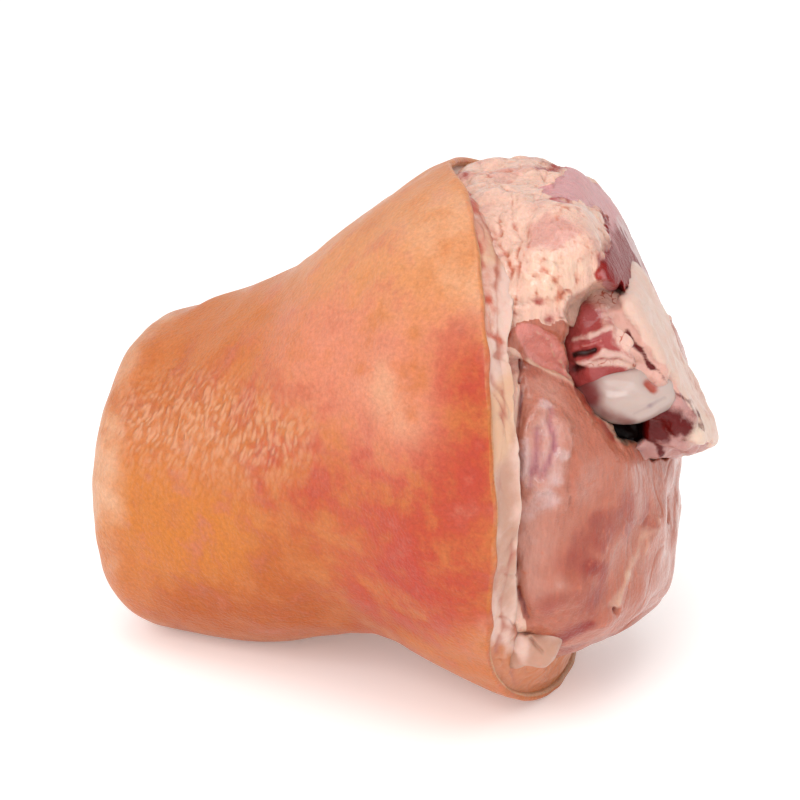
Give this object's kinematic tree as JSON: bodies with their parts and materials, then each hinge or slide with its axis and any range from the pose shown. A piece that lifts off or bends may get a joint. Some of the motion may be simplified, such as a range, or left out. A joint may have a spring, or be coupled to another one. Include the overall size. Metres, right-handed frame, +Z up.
{
  "type": "raw pork knuckle",
  "caption": "Lower leg of pork lying on its side: smooth rind over a band of fat, lean bulging from the sawn joint end, a rounded bone end standing out.",
  "frame": {"origin": "middle of the bounding box's underside, on the surface that the knuckle lies on", "axes": "+X along the leg from the narrow shank end to the wide joint end, -Y the near side of the picture, +Z up"},
  "size_m": [0.156, 0.1212, 0.1327],
  "materials": {
    "rind": "moist waxy pigskin, orange to pink, satin",
    "lean": "moist raw lean under a pale membrane, satin to glossy",
    "bone": "moist cartilage and sawn bone, cream to pink, glossy",
    "sawn_bone": "sawn bone with red marrow, satin"
  },
  "bodies": {
    "root": {"rind_and_fat": "rind", "meat": "lean", "joint_bone": "bone", "shank_bone": "sawn_bone"}
  },
  "joints": []
}
